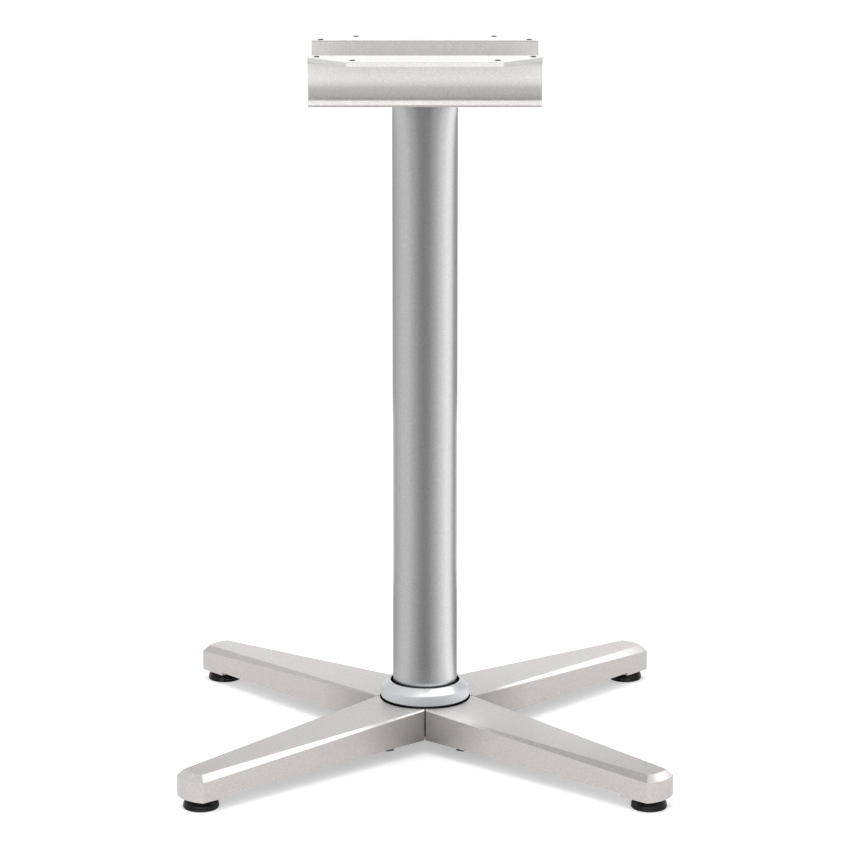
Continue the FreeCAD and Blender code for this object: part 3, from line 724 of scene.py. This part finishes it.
class BASE_OT_glides(bpy.types.Operator):
    """Turns the levelling glides and cuts the threads of their studs"""
    bl_idname = "table_base.glides"
    bl_label = "Levelling Glides"

    def execute(self, context):
        for name in LEG_NAMES:
            self.make_pad(f"glide_pad_{name}")
            self.make_stud(f"glide_stud_{name}", context.scene.base_sizes)
        return {"FINISHED"}

    def make_pad(self, node):
        """A rounded sole, the widest rim, and a dome that sweeps up to a flat crown round the stud."""
        low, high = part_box(node)
        middle = (low + high) / 2
        rim = 17.4 * MM
        rim_level = 3.4 * MM
        crown = 10.0 * MM
        dome_steps = 10
        draw_in = 1.7
        climb = 0.9
        profile = [
            (0.0, 0.0), (15.7 * MM, 0.0), (17.0 * MM, 0.5 * MM), (17.7 * MM, 1.9 * MM), (rim, rim_level),
        ]
        for index in range(1, dome_steps + 1):
            share = index / dome_steps
            reach = rim - (rim - crown) * share ** draw_in
            level = rim_level + (high.z - rim_level) * math.sin(share * math.pi / 2) ** climb
            profile.append((reach, level))
        profile += [(STUD_RADIUS, high.z), (STUD_RADIUS, STUD_HEAD), (0.0, STUD_HEAD)]
        pad = turned(profile, steps=64)
        bmesh.ops.translate(pad, vec=(middle.x, middle.y, 0.0), verts=pad.verts)
        stand_for(node, pad)

    def make_stud(self, node, sizes):
        """A threaded rod on a hexagon head; the thread is a ridge with a narrow flat along its crest."""
        low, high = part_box(node)
        middle = (low + high) / 2
        start = low.z + STUD_HEAD
        end = high.z
        root = STUD_RADIUS - sizes.thread_height
        tip = 0.6 * MM
        pitch = sizes.thread_pitch
        steps = 24
        stud = hexagon_head(flats=16.0 * MM, height=STUD_HEAD, chamfer=0.2 * MM, turn=math.radians(30))
        bmesh.ops.translate(stud, vec=(0.0, 0.0, start), verts=stud.verts)
        rod = [(0, start), (root, start), (root, end - tip), (root - tip, end), (0, end)]
        add_turned(stud, rod, ROD_STEPS)
        ridge = [
            (root, start), (STUD_RADIUS, start + 0.44 * pitch), (STUD_RADIUS, start + 0.56 * pitch),
            (root, start + pitch),
        ]
        turns = int((end - start - pitch) / pitch)
        add_turned(stud, ridge, steps, turns=turns, rise=pitch / steps)
        bmesh.ops.translate(stud, vec=(middle.x, middle.y, 0.0), verts=stud.verts)
        stand_for(node, stud)


# Stage

# Glowing cards that only reflections see. Each has a name, its middle, tilt and turn, its width and depth,
# the strength of its glow, and whether it glows to one side only.
CARDS = (
    ("Low back card", (0.0, 0.355, 0.150), UPRIGHT, 0.0, 0.56, 0.22, 0.95, False),
    ("High back card", (0.0, 2.2, 1.25), UPRIGHT, 0.0, 5.0, 1.0, 1.9, False),
    ("Front card", (0.0, -2.5, 0.27), UPRIGHT, 0.0, 4.0, 0.50, 2.4, False),
    ("Ceiling card", (0.0, 0.0, 1.6), 0.0, 0.0, 5.0, 5.0, 0.35, False),
    ("Front left strip", (-0.078, -0.153, 0.085), DOWN, SLANT, 0.26, 0.055, 2.5, True),
    ("Root strip", (0.024, -0.046, 0.085), DOWN, SLANT, 0.065, 0.028, 3.2, True),
    ("Front right strip", (0.078, -0.153, 0.085), DOWN, -SLANT, 0.26, 0.055, 0.25, True),
    ("Rear right strip", (0.217, 0.143, 0.085), DOWN, SLANT, 0.25, 0.055, 2.4, True),
    ("Nose card", (0.287, -0.215, 0.08), DOWN, 0.0, 0.055, 0.055, 2.6, True),
    ("Near card", (0.0, -0.079, 0.668), 0.0, 0.0, 0.30, 0.030, 0.30, True),
    ("Middle card", (0.0, -0.230, 0.668), 0.0, 0.0, 0.50, 0.080, 0.75, True),
    ("Channel card", (0.0, -0.056, 0.690), -UPRIGHT, 0.0, 0.22, 0.026, 0.95, True),
)

# Glow of the tent by degrees from the front, positive to the right.
TENT_GLOW = {
    -180: 0.40, -140: 0.42, -110: 0.58, -82: 0.72, -60: 0.72, -35: 0.46, -10: 0.24, 8: 0.24,
    30: 0.46, 55: 0.82, 82: 1.22, 100: 1.10, 120: 0.38, 150: 0.34, 180: 0.40,
}


class BASE_OT_stage(bpy.types.Operator):
    """Sets the floor, the soft lamps, the surroundings and the camera"""
    bl_idname = "table_base.stage"
    bl_label = "Stage"

    def execute(self, context):
        stage = context.scene.base_stage
        self.make_floor()
        self.make_world(context, stage)
        self.make_lamp("Front soft lamp", (0.0, -3.2, 1.6), wide=3.0, tall=2.0, power=stage.front_power)
        self.make_lamp("Left soft lamp", (-2.7, -0.6, 1.2), wide=2.0, tall=2.2, power=stage.left_power)
        self.make_lamp("Right soft lamp", (2.7, 0.3, 1.4), wide=2.0, tall=2.6, power=stage.right_power)
        self.make_sky_lamp(stage.top_strength)
        self.make_tent()
        for card in CARDS:
            self.make_card(*card)
        self.make_camera(context, stage)
        context.scene.view_settings.view_transform = "Standard"
        return {"FINISHED"}

    def make_floor(self):
        """A white floor from above, that isn't there from below, with a glow that only the camera sees."""
        shape = bmesh.new()
        bmesh.ops.create_grid(shape, x_segments=1, y_segments=1, size=40.0)
        finish = new_finish("Floor white")
        matt = {"Roughness": 0.9, "Specular IOR Level": 0.0}
        seen = finish.node("ShaderNodeLightPath", output="Is Camera Ray")
        bare = {"Base Color": (0.78, 0.762, 0.755, 1.0), **matt}
        shown = {
            "Base Color": (0.700, 0.705, 0.720, 1.0), **matt,
            "Emission Color": WHITE, "Emission Strength": 0.44,
        }
        both = {0: seen, 1: finish.principled(bare), 2: finish.principled(shown)}
        white = finish.end(finish.front_only(finish.node("ShaderNodeMixShader", both)))
        new_object("Floor", new_mesh("Floor", shape, white))

    def make_world(self, context, stage):
        """White for what the camera sees, directly or in a reflection, and ambient light for the rest."""
        context.scene.world = bpy.data.worlds.new("Pale surroundings")
        finish = Finish(context.scene.world)
        direct, mirrored, through = (
            finish.node("ShaderNodeLightPath", output=ray)
            for ray in ("Is Camera Ray", "Is Glossy Ray", "Is Transmission Ray")
        )
        glow = (direct | mirrored | through) * (1.0 - stage.ambient) + stage.ambient
        finish.end(finish.node("ShaderNodeBackground", {"Color": WHITE, "Strength": glow}))

    def make_lamp(self, name, place, wide, tall, power):
        """A soft lamp that lights the object and doesn't show in it: the cards do."""
        data = bpy.data.lights.new(name, "AREA")
        data.shape = "RECTANGLE"
        data.size = wide
        data.size_y = tall
        data.energy = power
        lamp = new_object(name, data)
        lamp.location = place
        column_middle = Vector((0.0, 0.0, 0.4))
        aim = column_middle - Vector(place)
        lamp.rotation_euler = aim.to_track_quat("-Z", "Y").to_euler()
        lamp.visible_camera = False
        lamp.visible_glossy = False

    def make_sky_lamp(self, strength):
        """A soft light from overhead, a little from the front and the left."""
        data = bpy.data.lights.new("Top soft lamp", "SUN")
        data.energy = strength
        data.angle = math.radians(50)
        lamp = new_object("Top soft lamp", data)
        lamp.rotation_euler = (math.radians(8), math.radians(-6), 0.0)
        lamp.visible_glossy = False

    def place_card(self, name, shape, finish, shade, strength, one_sided):
        """Gives a shape a glow that only reflections see, and puts it on the stage."""
        glow = finish.principled({
            "Base Color": (0.0, 0.0, 0.0, 1.0), "Roughness": 1.0, "Specular IOR Level": 0.0,
            "Emission Color": shade, "Emission Strength": strength,
        })
        glowing = finish.end(finish.front_only(glow) if one_sided else glow)
        card = new_object(name, new_mesh(name, shape, glowing))
        card.visible_camera = False
        card.visible_diffuse = False
        card.visible_shadow = False

    def make_card(self, name, middle, tilt, turn, wide, tall, strength, one_sided):
        """A flat card, which lies level and faces up before it is tilted and turned."""
        shape = bmesh.new()
        bmesh.ops.create_grid(shape, x_segments=1, y_segments=1, size=0.5)
        aimed = Matrix.Rotation(turn, 4, "Z") @ Matrix.Rotation(tilt, 4, "X")
        placed = Matrix.Translation(middle) @ aimed @ Matrix.Diagonal((wide, tall, 1.0, 1.0))
        bmesh.ops.transform(shape, matrix=placed, verts=shape.verts)
        self.place_card(name, shape, new_finish(f"{name} glow"), WHITE, strength, one_sided)

    def make_tent(self):
        """A round tent whose glow changes with the direction: it draws the bands down the column."""
        skirt = 0.046
        radius = 0.45
        base = 0.0475
        rim = 0.50
        throat = COLUMN_RADIUS + 1.0 * MM
        top = 0.6598
        shape = turned([(skirt, base), (radius, base), (radius, rim), (throat, top)], steps=96)
        lowest = min(shape.faces, key=lambda face: face.calc_center_median().z)
        if lowest.normal.z < 0:
            bmesh.ops.reverse_faces(shape, faces=shape.faces)
        finish = new_finish("Surround glow")
        right, behind = finish.place("XY")
        turn = right.combine("ARCTAN2", right, -1.0 * behind)
        brightest = max(TENT_GLOW.values())
        stops = {degrees / 360 + 0.5: glow / brightest for degrees, glow in TENT_GLOW.items()}
        shade = finish.node("ShaderNodeValToRGB", {0: turn * (1 / math.tau) + 0.5}, stops=stops)
        self.place_card("Surround", shape, finish, shade, brightest, one_sided=True)

    def make_camera(self, context, stage):
        """The camera of the photograph, straight in front of the column and looking down a little."""
        data = bpy.data.cameras.new("Camera")
        data.sensor_width = 36.0
        data.lens = stage.lens
        data.clip_end = 100.0
        camera = new_object("Camera", data)
        camera.location = (0.0, -stage.camera_distance, stage.camera_height)
        camera.rotation_euler = (math.pi / 2 - stage.camera_tilt, 0.0, 0.0)
        context.scene.camera = camera


class BASE_PT_panel(bpy.types.Panel):
    """Sizes, colours and steps of the table base"""
    bl_label = "Table Base"
    bl_idname = "BASE_PT_panel"
    bl_space_type = "VIEW_3D"
    bl_region_type = "UI"
    bl_category = "Table Base"

    def draw(self, context):
        for group in (context.scene.base_sizes, context.scene.base_colours, context.scene.base_stage):
            box = self.layout.box()
            for field in group.__annotations__:
                box.prop(group, field)
        for step in STEPS:
            self.layout.operator(step.bl_idname)


GROUPS = (BaseSizes, BaseColours, StageSizes)
STEPS = (
    BASE_OT_legs, BASE_OT_hub, BASE_OT_column, BASE_OT_collar,
    BASE_OT_head, BASE_OT_glides, BASE_OT_stage,
)


def register():
    for item in GROUPS + STEPS + (BASE_PT_panel,):
        bpy.utils.register_class(item)
    bpy.types.Scene.base_sizes = PointerProperty(type=BaseSizes)
    bpy.types.Scene.base_colours = PointerProperty(type=BaseColours)
    bpy.types.Scene.base_stage = PointerProperty(type=StageSizes)


def unregister():
    del bpy.types.Scene.base_stage
    del bpy.types.Scene.base_colours
    del bpy.types.Scene.base_sizes
    for item in reversed(GROUPS + STEPS + (BASE_PT_panel,)):
        bpy.utils.unregister_class(item)


def main():
    register()
    for step in ("legs", "hub", "column", "collar", "head", "glides", "stage"):
        if getattr(bpy.ops.table_base, step)() != {"FINISHED"}:
            raise RuntimeError(f"The step {step} didn't finish")


if __name__ == "__main__":
    main()
